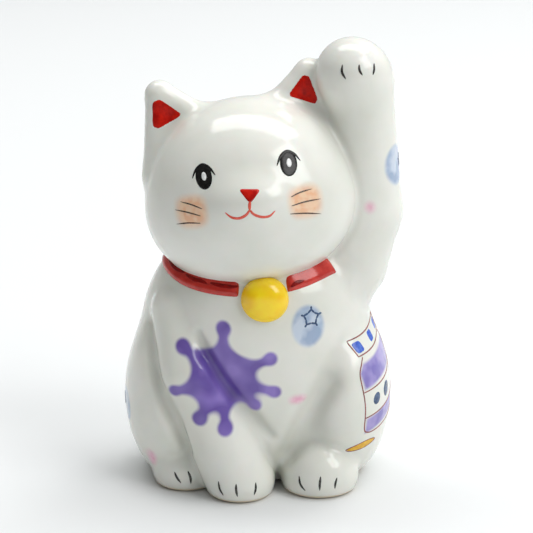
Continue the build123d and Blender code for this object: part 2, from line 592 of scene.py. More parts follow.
@dataclass(frozen=True)
class SoftStopperRubber:
    """Moulded soft PVC, unpainted: milky, satin, with the fine grain of its mould."""

    tone: str = "#CFCBBE"
    shade: str = "#BFBAAB"
    grain_mm: float = 0.6

    def make(self) -> Material:
        """Build the material."""
        mix = Recipe("soft_pvc")
        grain = mix.noise(self.grain_mm, 4.0)
        rough = mix.node("MapRange", Value=grain, To_Min=0.42, To_Max=0.6)
        bump = mix.node("Bump", Strength=0.4, Distance=0.05 * MM, Height=grain)
        shader = mix.node(
            "BsdfPrincipled",
            Base_Color=mix.blend(grain, self.tone, self.shade),
            Roughness=rough.outputs[0],
            IOR=1.46,
            Normal=bump.outputs[0],
        )
        return mix.finish(shader)


@dataclass(frozen=True)
class StudioPaper:
    """Matt white background paper."""

    tone: str = "#E2E4E4"
    fibre_mm: float = 3.0

    def make(self) -> Material:
        """Build the material."""
        mix = Recipe("studio_paper")
        rough = mix.node("MapRange", Value=mix.noise(self.fibre_mm, 2.0), To_Min=0.75, To_Max=0.9)
        shader = mix.node("BsdfPrincipled", Base_Color=linear(self.tone), Roughness=rough.outputs[0])
        return mix.finish(shader)


RED = Enamel("iron_red_enamel", "#CE1D0C", "#A30C04", 2.2, 0.16, 0.2)
MOUTH_RED = Enamel("coral_red_enamel", "#E2604C", "#D24A38", 0.9)
BLACK = Enamel("black_enamel", "#1E1C1B", "#0B0A0A", 0.8, 0.22, 0.3)
LASH_BROWN = Enamel("brown_black_enamel", "#5A453A", "#33241F", 0.7)
CLAW_GREY = Enamel("grey_black_enamel", "#4A4744", "#2A2725", 0.8)
OUTLINE = Enamel("red_brown_enamel", "#A0605A", "#7A3A36", 0.7)
LID_BLUE = Enamel("cobalt_enamel", "#5E7FD6", "#2F55BE", 1.1)
STAR_BLUE = Enamel("slate_blue_enamel", "#4C6386", "#2C4163", 0.8)
SPOON_YELLOW = Enamel("ochre_enamel", "#EFC23A", "#D79E1C", 0.9)
EYE_GLINT = Enamel("white_enamel", "#F2F3F1", "#DCDEDD", 0.7)
COLLAR_RED = Enamel("collar_red_enamel", "#CC3B30", "#B4271E", 3.4, 0.12)
COLLAR_STREAK = Enamel("dense_red_enamel", "#8E0F0A", "#6E0805", 1.2, 0.14, 0.2)
BELL_YELLOW = Enamel("bell_yellow_enamel", "#FFDF14", "#FBC808", 7.0, 0.1, 0.6)


# ---------------------------------------------------------------- meshes


def weave(rows: int, across: int, start: int = 0, closed: bool = True, flip: bool = False) -> list:
    """Four-cornered faces between rows of points.

    Args:
        rows: how many rows there are.
        across: how many points each row has.
        start: number of the first point.
        closed: whether each row runs back to its first point.
        flip: whether the faces look the other way.

    Returns:
        The faces.
    """
    faces = []
    for j in range(rows - 1):
        a, b = start + j * across, start + (j + 1) * across
        for k in range(across if closed else across - 1):
            far = (k + 1) % across
            face = (a + k, a + far, b + far, b + k)
            faces.append(face[:1] + face[:0:-1] if flip else face)
    return faces


@dataclass
class Bench:
    """Where finished pieces are made: the cat's axis on the table, and its form."""

    form: CatForm = field(default_factory=CatForm)

    def __post_init__(self) -> None:
        """Find the body's axis from the body casting's box."""
        low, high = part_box("torso_casting")
        self.axis = np.array([(low.x + high.x) / 2, (low.y + high.y) / 2 - self.form.recess_y * MM, low.z])

    def piece(self, name: str, points: Array, faces: Sequence, finish: Material) -> bpy.types.Object:
        """Make a smooth mesh piece.

        Args:
            name: the piece's name.
            points: corners in mm from the cat's axis.
            faces: corner numbers of each face.
            finish: its material.

        Returns:
            The object, linked to the scene.
        """
        mesh = bpy.data.meshes.new(name)
        corners = np.asarray(points) * MM + self.axis
        mesh.from_pydata(corners.tolist(), [], [list(map(int, face)) for face in faces])
        mesh.validate()
        mesh.shade_smooth()
        mesh.materials.append(finish)
        made = bpy.data.objects.new(name, mesh)
        bpy.context.collection.objects.link(made)
        LOG.info("%s: %d faces", name, len(mesh.polygons))
        return made


@dataclass(frozen=True)
class Easel:
    """A flat sheet that a drawing is laid out on before it is painted through onto the cat.

    Args:
        origin: the sheet's middle, mm from the cat's axis.
        across: direction of the drawing's first measure.
        up: direction of its second measure.
        inward: the way the drawing travels to the cat.
    """

    origin: Array
    across: Array
    up: Array
    inward: Array

    def onto(self, form: Distance, drawing: Array) -> Array:
        """Carry points of the drawing onto the cat's skin."""
        d = np.asarray(drawing, float)
        start = self.origin + d[:, :1] * self.across + d[:, 1:2] * self.up
        return meet(form, start, self.inward)


def front_easel() -> Easel:
    """Sheet in front of the body, square to it."""
    return Easel(np.array([0, -AWAY, 0]), np.array([1.0, 0, 0]), UP, np.array([0, 1.0, 0]))


def head_easel(form: CatForm) -> Easel:
    """Sheet in front of the face, leaning with the head."""
    axes = [form.head_axis(v) for v in ((1, 0, 0), (0, 0, 1), (0, 1, 0))]
    return Easel(form.in_head(np.array([0, -AWAY, 0])), *axes)


def side_easel(azimuth: float) -> Easel:
    """Upright sheet beside the cat; azimuth is turned from its front towards its left side."""
    a = radians(azimuth)
    out = np.array([sin(a), -cos(a), 0.0])
    return Easel(out * AWAY, np.array([cos(a), sin(a), 0.0]), UP, -out)


def smooth_path(corners: Sequence[Point2], count: int) -> Array:
    """Even points along a smooth curve through corners.

    Args:
        corners: places the curve passes.
        count: how many points to return.

    Returns:
        The points.
    """
    c = np.asarray(corners, float)
    if len(c) == 2:
        return c[0] + np.linspace(0, 1, count)[:, None] * (c[1] - c[0])
    p = np.vstack([2 * c[0] - c[1], c, 2 * c[-1] - c[-2]])
    fine = []
    for i in range(len(c) - 1):
        t = np.linspace(0, 1, 24, endpoint=False)[:, None]
        a, b, d, e = p[i : i + 4]
        fine.append(
            0.5 * (2 * b + (d - a) * t + (2 * a - 5 * b + 4 * d - e) * t**2 + (3 * b - a - 3 * d + e) * t**3)
        )
    fine = np.vstack([*fine, c[-1:]])
    run = np.r_[0, np.cumsum(np.linalg.norm(np.diff(fine, axis=0), axis=1))]
    even = np.linspace(0, run[-1], count)
    return np.stack([np.interp(even, run, fine[:, k]) for k in range(2)], 1)


@dataclass
class Painter:
    """Lays brush strokes and filled patches of enamel on the cat as thin raised pieces."""

    bench: Bench
    step_mm: float = 0.28
    sides: int = 10
    sink_mm: float = 0.12

    def stroke(
        self,
        easel: Easel,
        corners: Sequence[Point2],
        wide: float,
        taper: Point2 = (0.25, 0.25),
        thick: float = 0.09,
        form: Distance | None = None,
    ) -> Shell:
        """One brush stroke.

        Args:
            easel: the sheet it is laid out on.
            corners: places it passes, mm.
            wide: greatest width, mm.
            taper: width at the start and the end, as shares of the greatest.
            thick: height above the glaze, mm.
            form: what it is painted on; the whole cat if left out.

        Returns:
            Corners and faces of a closed mesh.
        """
        form = form or self.bench.form.distance
        long = float(np.linalg.norm(np.diff(np.asarray(corners, float), axis=0), axis=1).sum())
        count = max(10, int(long / self.step_mm))
        line = easel.onto(form, smooth_path(corners, count))
        normal = slope(form, line)
        along = np.gradient(line, axis=0)
        along /= np.linalg.norm(along, axis=1, keepdims=True)
        side = np.cross(normal, along)
        t = np.linspace(0, 1, count)
        swell = np.interp(t, [0, 0.3, 0.7, 1], [taper[0], 1, 1, taper[1]])
        swell *= np.clip(np.minimum(t, 1 - t) * long / (0.3 * wide), 0.2, 1) ** 0.5
        ring = np.linspace(0, 2 * pi, self.sides, endpoint=False)
        half = (swell * wide / 2)[:, None, None]
        flat = np.cos(ring)[None, :, None] * side[:, None] * half
        lift = np.sin(ring)[None, :, None] * normal[:, None] * thick
        points = (line[:, None] + flat + lift).reshape(-1, 3)
        n = len(ring)
        faces = weave(count, n)
        faces.append(tuple(reversed(range(n))))
        faces.append(tuple((count - 1) * n + k for k in range(n)))
        return points, faces

    def patch(self, easel: Easel, rim: Sequence[Point2], thick: float, rings: int = 7) -> Shell:
        """One filled patch, seen from its middle in every direction.

        Args:
            easel: the sheet it is laid out on.
            rim: its outline, mm.
            thick: height above the glaze, mm.
            rings: how many rings of faces it has.

        Returns:
            Corners and faces of a closed mesh.
        """
        form = self.bench.form.distance
        rim = np.asarray(rim, float)
        middle = rim.mean(0)
        n = len(rim)
        share = np.repeat(np.linspace(0, 1, rings + 1)[1:], n)
        flat = np.vstack([middle[None], middle + share[:, None] * np.tile(rim - middle, (rings, 1))])
        share = np.r_[0, share]
        skin = easel.onto(form, flat)
        normal = slope(form, skin)
        top = skin + normal * (thick * (1 - share**6) - 0.02 * share**6)[:, None]
        low = skin - normal * self.sink_mm
        points = np.vstack([top, low])
        m = len(flat)
        faces = []
        for k in range(n):
            j = (k + 1) % n
            faces.append((0, 1 + k, 1 + j))
            faces.append((m, m + 1 + j, m + 1 + k))
            for r in range(rings - 1):
                a, b = 1 + r * n, 1 + (r + 1) * n
                faces.append((a + k, b + k, b + j, a + j))
                faces.append((m + a + j, m + b + j, m + b + k, m + a + k))
            last = 1 + (rings - 1) * n
            faces.append((last + k, m + last + k, m + last + j, last + j))
        return points, faces

    def hang(self, name: str, marks: Sequence[Shell], finish: Material) -> bpy.types.Object:
        """Join marks of one colour into one piece that rides on the figurine.

        Args:
            name: the piece's name.
            marks: meshes from stroke and patch.
            finish: its enamel.

        Returns:
            The piece.
        """
        points, faces, start = [], [], 0
        for corners, sides in marks:
            points.append(corners)
            faces += [[c + start for c in side] for side in sides]
            start += len(corners)
        made = self.bench.piece(name, np.vstack(points), faces, finish)
        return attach(made, FIGURINE)


def oval(middle: Point2, half: Point2, count: int = 40, square: float = 2.0) -> Array:
    """Outline of an oval, or of a rounded square where square is above 2."""
    t = np.linspace(0, 2 * pi, count, endpoint=False)
    c, s = np.cos(t), np.sin(t)
    x = np.sign(c) * np.abs(c) ** (2 / square) * half[0]
    y = np.sign(s) * np.abs(s) ** (2 / square) * half[1]
    return np.stack([middle[0] + x, middle[1] + y], 1)


def rounded(corners: Sequence[Point2], soft: float, count: int = 48) -> Array:
    """Outline of a polygon with its corners rounded by a share of each side.

    Args:
        corners: the polygon's corners.
        soft: share of each side that is taken into the rounding, below 0.5.
        count: how many points to return.

    Returns:
        The outline.
    """
    c = np.asarray(corners, float)
    pieces = []
    for i, here in enumerate(c):
        before, after = c[i - 1], c[(i + 1) % len(c)]
        a, b = here + (before - here) * soft, here + (after - here) * soft
        t = np.linspace(0, 1, 9)[:, None]
        pieces.append((1 - t) ** 2 * a + 2 * t * (1 - t) * here + t**2 * b)
    loop = np.vstack([*pieces, pieces[0][:1]])
    run = np.r_[0, np.cumsum(np.linalg.norm(np.diff(loop, axis=0), axis=1))]
    even = np.linspace(0, run[-1], count, endpoint=False)
    return np.stack([np.interp(even, run, loop[:, k]) for k in range(2)], 1)


# ---------------------------------------------------------------- the glazed cat


@dataclass
class Splat:
    """Sprayed burst of colour on the chest: a round middle and drops thrown out of it, in mm."""

    middle: Point2 = (-8.5, 30.6)
    half: Point2 = (7.6, 7.0)
    neck: float = 1.1
    stem_blend: float = 3.4
    drop_blend: float = 1.0
    front_y: float = -4.0
    drops: tuple[tuple[float, float, float], ...] = (
        (88.0, 12.0, 1.8),
        (22.0, 12.6, 1.6),
        (-16.0, 13.3, 1.4),
        (-42.0, 10.6, 1.4),
        (-86.0, 11.7, 1.9),
        (-120.0, 10.7, 1.9),
        (-165.0, 11.8, 1.3),
        (142.0, 11.9, 1.8),
    )

    def distance(self, p: Array) -> Array:
        """Distance to the burst's edge, seen from the front."""
        q = p[:, [0, 2]] - np.array(self.middle)
        d = (np.sqrt((q[:, 0] / self.half[0]) ** 2 + (q[:, 1] / self.half[1]) ** 2) - 1) * min(self.half)
        for angle, reach, r in self.drops:
            way = np.array([cos(radians(angle)), sin(radians(angle))])
            t = np.clip(q @ way, 0, reach)
            stem = np.linalg.norm(q - t[:, None] * way, axis=1) - self.neck
            d = smooth_union(d, stem, self.stem_blend)
            drop = np.linalg.norm(q - reach * way, axis=1) - r
            d = smooth_union(d, drop, self.drop_blend)
        return np.where(p[:, 1] < self.front_y, d, FAR)


@dataclass
class GlazedSkin:
    """The cat's whole glazed surface, one unbroken skin over the luted castings."""

    bench: Bench
    finish: GlazedPorcelain = field(default_factory=GlazedPorcelain)
    cell_mm: float = 0.6
    grid_low: Point3 = (-36.0, -31.0, -2.0)
    grid_high: Point3 = (38.0, 31.0, 112.0)
    splat: Splat = field(default_factory=Splat)
    berries: tuple[Swelling, ...] = (
        Swelling((12.2, -19.0, 42.7), (4.0, 5.0, 5.0)),
        Swelling((33.4, -3.2, 78.7), (4.4, 4.4, 4.9)),
        Swelling((-32.4, -7.6, 18.9), (4.2, 4.6, 4.4)),
        Swelling((-12.0, 22.0, 40.0), (4.2, 5.0, 4.8)),
        Swelling((20.0, 19.5, 30.0), (4.4, 5.0, 4.4)),
        Swelling((-22.0, 17.5, 19.0), (4.0, 5.0, 4.4)),
        Swelling((33.6, 5.5, 60.0), (3.6, 4.4, 4.2)),
    )
    petals: tuple[Swelling, ...] = (
        Swelling((27.2, -10.2, 69.5), (1.4, 2.0, 1.4)),
        Swelling((10.2, -21.0, 24.5), (2.3, 2.0, 1.1)),
        Swelling((-25.8, -14.4, 8.1), (1.3, 2.4, 2.6)),
        Swelling((-31.0, 7.0, 33.0), (1.4, 1.8, 1.6)),
        Swelling((6.0, 24.5, 32.0), (1.8, 2.0, 1.4)),
        Swelling((30.5, 11.0, 17.0), (1.8, 2.2, 1.6)),
        Swelling((34.5, 6.0, 83.0), (1.6, 2.0, 1.6)),
        Swelling((-8.0, 25.0, 14.0), (1.6, 2.0, 1.6)),
    )
    blush: tuple[Point2, Point2] = ((-13.2, -1.3), (13.3, -2.7))
    blush_half: Point2 = (3.5, 3.5)
    blush_back_y: float = -8.0
    groove_shade_inset: float = 0.6
    groove_shade_half: float = 0.5
    groove_shade_parts: int = 3
    pool_shade_reach: float = 2.2
    pool_shade_share: float = 0.8

    def solid(self) -> tuple[Array, Array]:
        """Find the skin of the form on a fine grid and settle it exactly.

        Returns:
            Corners in mm from the cat's axis, and four-cornered faces.
        """
        form = self.bench.form.distance
        cell = self.cell_mm * 1.0
        low, high = np.array(self.grid_low), np.array(self.grid_high)
        count = np.ceil((high - low) / cell).astype(int)
        values = np.empty(count, np.float32)
        x, y = (low[k] + cell * np.arange(count[k]) for k in (0, 1))
        plane = np.stack(np.meshgrid(x, y, indexing="ij"), -1)
        for k in range(count[2]):
            z = np.full(plane.shape[:2] + (1,), low[2] + cell * k)
            values[:, :, k] = form(np.concatenate([plane, z], -1))
        grid = openvdb.FloatGrid(background=10.0)
        grid.copyFromArray(values)
        points, faces = grid.convertToQuads(isovalue=0.0)
        points = low + cell * points.astype(float)
        for _ in range(3):
            points -= form(points)[:, None] * slope(form, points)
        corner = points[faces]
        facing = np.cross(corner[:, 1] - corner[:, 0], corner[:, 2] - corner[:, 0])
        outward = (facing * slope(form, corner.mean(1))).sum() > 0
        return points, faces if outward else faces[:, ::-1]

    def wash_fields(self, points: Array) -> dict[Wash, Array]:
        """How far each corner of the skin lies from the edge of each wash, in mm.

        Args:
            points: the skin's corners.

        Returns:
            One number for each corner and wash; the pooling, partly painted crease shade, is a share
            instead.
        """
        form = self.bench.form
        normal = slope(form.distance, points)
        face = (points - np.array(form.head_at)) @ turn(*form.head_lean)
        blush = np.full(len(points), FAR)
        for x, z in self.blush:
            q = np.abs(face[:, [0, 2]] - np.array((x, z))) / np.array(self.blush_half)
            blush = np.minimum(blush, ((q**3).sum(1) ** (1 / 3) - 1) * min(self.blush_half))
        blush = np.where(face[:, 1] < self.blush_back_y, blush, FAR)
        # painted shade, partly glaze pooling: greyer where the form closes in within a short reach along the
        # normal
        open_air = form.distance(points + normal * self.pool_shade_reach) / self.pool_shade_reach
        pool_shade = np.clip(1 - open_air, 0, 1) ** 1.2
        splat = self.splat.distance(points)
        # painted shade: the burst's purple darkens along the first pressed crease, where it runs through the
        # burst
        groove_shade = np.min([limb.distance(points) for limb, _ in form.pressed[: self.groove_shade_parts]], 0)
        return {
            Wash.PURPLE: splat,
            Wash.GROOVE_SHADE: np.maximum(splat + self.groove_shade_inset, groove_shade - self.groove_shade_half),
            Wash.BLUE: np.min([b.distance(points) for b in self.berries], 0),
            Wash.PINK: np.min([b.distance(points) for b in self.petals], 0),
            Wash.BLUSH: blush,
            Wash.JAM: JamJar().jam(points),
            Wash.POOL_SHADE: pool_shade * self.pool_shade_share,
        }

    def build(self) -> bpy.types.Object:
        """Make the skin and let it stand for the luted castings."""
        points, faces = self.solid()
        skin = self.bench.piece("glazed_skin", points, faces, self.finish.make())
        for wash, values in self.wash_fields(points).items():
            layer = skin.data.attributes.new(wash.value, "FLOAT", "POINT")
            layer.data.foreach_set("value", values.astype(np.float32))
        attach(skin, FIGURINE)
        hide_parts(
            "torso_casting",
            "head_casting",
            "ear_left",
            "ear_right",
            "raised_arm",
            "lowered_foreleg",
            "hind_foot_left",
            "hind_foot_right",
            "tail",
        )
        return skin


@dataclass
class Face:
    """Painted face: eyes with lashes, nose, mouth, whiskers and the red of the ears.

    Places are across and up in mm from the middle of the head, leaning with it.
    """

    painter: Painter
    eyes: tuple[Point2, Point2] = ((-9.2, 6.4), (10.7, 6.6))
    eye_half: Point2 = (2.05, 3.0)
    glint_half: Point2 = (0.7, 1.2)
    eye_shift: float = 0.1
    lash_high: float = 2.75
    lash_out: float = 2.75
    lash_side: float = 1.7
    lash_wide: float = 0.8
    mouth_wide: float = 0.7
    whisker_wide: float = 0.34
    nose: tuple[Point2, ...] = ((-1.6, 3.0), (3.8, 2.2), (0.8, -0.8))
    mouth: tuple[tuple[Point2, ...], ...] = (
        ((0.85, -0.1), (0.6, -1.1), (0.45, -2.3)),
        ((0.5, -2.1), (-0.6, -3.2), (-2.3, -3.75), (-4.0, -3.3), (-5.3, -2.0)),
        ((0.5, -2.1), (1.3, -3.3), (2.9, -4.2), (4.7, -4.3), (6.2, -3.3)),
    )
    whiskers: tuple[tuple[Point2, ...], ...] = (
        ((-15.6, 1.3), (-13.0, 0.4), (-10.6, -0.8)),
        ((-17.2, -0.5), (-14.2, -1.3), (-11.2, -2.4)),
        ((-17.4, -3.9), (-14.4, -3.8), (-11.5, -4.1)),
        ((15.2, -0.1), (12.6, -0.3), (10.2, -0.9)),
        ((16.9, -2.8), (13.4, -2.7), (10.0, -3.0)),
        ((16.5, -6.3), (13.0, -5.4), (9.4, -4.8)),
    )
    ears: tuple[tuple[Point2, ...], ...] = (
        ((-20.0, 24.3), (-18.0, 24.9), (-13.3, 20.6), (-13.8, 19.9), (-19.4, 17.7), (-20.8, 18.5)),
        ((16.8, 25.6), (18.3, 25.1), (19.6, 19.2), (18.7, 18.1), (12.9, 20.9), (12.9, 21.7)),
    )

    def build(self) -> None:
        """Paint the face."""
        form = self.painter.bench.form
        sheet = head_easel(form)
        brush = self.painter
        irises = [brush.patch(sheet, oval(eye, self.eye_half), thick=0.1) for eye in self.eyes]
        lashes, glints = [], []
        side, out, shift = self.lash_side, self.lash_out, self.eye_shift
        for x, z in self.eyes:
            arc = (
                (x - out, z - shift),
                (x - side, z + side),
                (x, z + self.lash_high),
                (x + side, z + side),
                (x + out, z + shift),
            )
            lashes.append(brush.stroke(sheet, arc, self.lash_wide, thick=0.12))
            glint = oval((x + shift, z + shift), self.glint_half, 24)
            glints.append(brush.patch(sheet, glint, thick=0.17, rings=4))
        nose = brush.patch(sheet, rounded(self.nose, soft=0.24), thick=0.14)
        mouth = [brush.stroke(sheet, line, self.mouth_wide, (0.7, 0.35)) for line in self.mouth]
        whiskers = [brush.stroke(sheet, line, self.whisker_wide, (0.25, 0.6)) for line in self.whiskers]
        ears = [rounded(rim, soft=0.2, count=72) for rim in self.ears]
        ears = [brush.patch(sheet, rim, thick=0.1, rings=12) for rim in ears]
        for name, marks, enamel in (
            ("eyes", irises + lashes, BLACK),
            ("eye_glints", glints, EYE_GLINT),
            ("nose", [nose], RED),
            ("mouth", mouth, MOUTH_RED),
            ("whiskers", whiskers, LASH_BROWN),
            ("ear_red", ears, RED),
        ):
            brush.hang(name, marks, enamel.make())


@dataclass
class Claws:
    """Short dark claw strokes on every paw, laid out on the sheet in front, in mm."""

    painter: Painter
    strokes: tuple[tuple[Point2, Point2, Point2], ...] = (
        ((-20.3, 5.5), (-19.7, 4.1), (-18.7, 2.7)),
        ((-17.0, 5.9), (-16.4, 4.2), (-16.3, 2.5)),
        ((-9.4, 5.8), (-9.1, 3.8), (-8.2, 2.2)),
        ((-5.1, 5.6), (-5.1, 4.0), (-4.8, 2.3)),
        ((-0.4, 5.5), (-0.4, 3.9), (-0.8, 2.4)),
        ((10.1, 5.9), (10.4, 3.9), (11.6, 2.3)),
        ((15.3, 6.3), (15.1, 4.4), (15.1, 2.7)),
        ((19.3, 5.7), (18.9, 4.2), (18.8, 2.9)),
        ((20.0, 104.3), (19.9, 102.6), (20.8, 101.0)),
        ((23.9, 104.4), (24.0, 103.1), (24.7, 101.9)),
        ((27.5, 104.4), (27.5, 103.0), (27.2, 101.8)),
    )
    wide: float = 0.6

    def build(self) -> None:
        """Paint the claws."""
        sheet = front_easel()
        marks = [self.painter.stroke(sheet, line, self.wide, (0.45, 0.35)) for line in self.strokes]
        self.painter.hang("claws", marks, CLAW_GREY.make())


@dataclass
class Collar:
    """Raised red strip round the neck with the bell over it, in mm from the cat's axis."""

    painter: Painter
    high: float = 52.6
    rise_back: float = 0.33
    rise_left: float = 0.047
    front_y: float = -17.5
    half_high: float = 2.3
    raise_mm: float = 0.85
    back_high: float = 55.8
    front_from: float = 22.0
    front_to: float = 64.0
    back_from: float = 133.0
    back_to: float = 347.0
    back_soft: float = 1.5
    end_soft: float = 3.0
    turn_step: float = 1.2
    rows: int = 15
    settle: int = 5
    lap_mm: float = 0.05
    sink_mm: float = 0.5
    marks: tuple[tuple[Point2, ...], ...] = (
        ((-21.6, 55.6), (-19.8, 54.6), (-17.6, 54.2)),
        ((-17.2, 53.9), (-15.2, 53.2), (-13.6, 53.1), (-12.0, 52.6)),
        ((-11.2, 52.9), (-9.2, 52.6), (-6.4, 52.4), (-4.4, 52.6)),
        ((8.0, 52.2), (9.4, 53.0), (11.2, 53.3)),
    )
    mark_wide: float = 0.95
    bell_at: Point3 = (1.8, -18.7, 49.3)
    bell_half: Point3 = (5.75, 4.2, 5.6)
    bell_square: Point2 = (2.4, 2.2)
    bell_sides: int = 72
    bell_rows: int = 40

    def strip(self, start: float, end: float) -> Shell:
        """One length of the strip, between two azimuths from the front.

        Args:
            start: azimuth of its first end, degrees.
            end: azimuth of its other end.

        Returns:
            Corners and faces of a closed mesh.
        """
        form = self.painter.bench.form.limbs
        turns = np.radians(np.arange(start, end, self.turn_step))
        share = np.linspace(-1, 1, self.rows)
        out = np.stack([np.sin(turns), -np.cos(turns), np.zeros(len(turns))], 1)
        z = np.full(len(turns), self.high)
        for _ in range(self.settle):
            skin = meet(form, out * AWAY + z[:, None] * UP, -out)
            z = self.high + self.rise_back * (skin[:, 1] - self.front_y) + self.rise_left * skin[:, 0]
            z = smooth_union(z, np.full(len(turns), self.back_high), self.back_soft)
        rows_top, rows_low = [], []
        to_end = np.minimum(turns - turns[0], turns[-1] - turns)
        ends = np.clip(to_end / radians(self.end_soft), 0, 1) ** 0.5
        for s in share:
            height = (z + s * self.half_high)[:, None] * UP
            skin = meet(form, out * AWAY + height, -out)
            normal = slope(form, skin)
            crown = self.raise_mm * (1 - abs(s) ** 5) * ends
            rows_top.append(skin + normal * (crown - self.lap_mm)[:, None])
            rows_low.append(skin - normal * self.sink_mm)
        n, m = len(turns), len(share)
        points = np.vstack(rows_top + rows_low)
        faces = weave(m, n, closed=False) + weave(m, n, m * n, closed=False, flip=True)
        for i in range(n - 1):
            for row, flip in ((0, True), (m - 1, False)):
                a = row * n + i
                side = (a, a + 1, a + 1 + m * n, a + m * n)
                faces.append(side[::-1] if flip else side)
        for j in range(m - 1):
            for column, flip in ((0, False), (n - 1, True)):
                a = j * n + column
                side = (a, a + n, a + n + m * n, a + m * n)
                faces.append(side[::-1] if flip else side)
        return points, faces

    def build(self) -> None:
        """Make the strip, its darker brush marks and the bell."""
        red = COLLAR_RED.make()
        for name, node, ends in (
            ("collar_front_strip", "collar_front", (self.front_from, self.front_to)),
            ("collar_back_strip", "collar_back", (self.back_from, self.back_to)),
        ):
            strip = self.painter.hang(name, [self.strip(*ends)], red)
            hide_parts(node)
        self.brush_marks()
        self.bell()

    def brush_marks(self) -> None:
        """Paint the denser red where the brush was pressed along the strip."""
        form = self.painter.bench.form

        def crest(p: Array) -> Array:
            """Distance to the crest of the raised strip."""
            return form.limbs(p) - self.raise_mm

        sheet, brush = front_easel(), self.painter
        marks = [brush.stroke(sheet, line, self.mark_wide, (0.5, 0.4), 0.08, crest) for line in self.marks]
        brush.hang("collar_marks", marks, COLLAR_STREAK.make())

    def bell(self) -> None:
        """Make the bell: a half-sunk dome with a soft rim."""
        around = np.linspace(0, 2 * pi, self.bell_sides, endpoint=False)
        down = np.linspace(0, pi, self.bell_rows)[1:-1]
        wide, deep = self.bell_square
        rows = []
        for d in down:
            radius, out = sin(d) ** (2 / wide), np.sign(cos(d)) * abs(cos(d)) ** (2 / deep)
            depth = np.full(len(around), -out)
            rows.append(np.stack([np.cos(around) * radius, depth, np.sin(around) * radius], 1))
        points = np.vstack([[[0, -1, 0]], *rows, [[0, 1, 0]]]) * self.bell_half + self.bell_at
        n, m = len(around), len(down)
        faces = [(0, 1 + (k + 1) % n, 1 + k) for k in range(n)]
        faces += weave(m, n, 1)
        last = 1 + (m - 1) * n
        faces += [(last + k, last + (k + 1) % n, len(points) - 1) for k in range(n)]
        bell = self.painter.hang("bell_dome", [(points, faces)], BELL_YELLOW.make())
        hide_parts("bell")


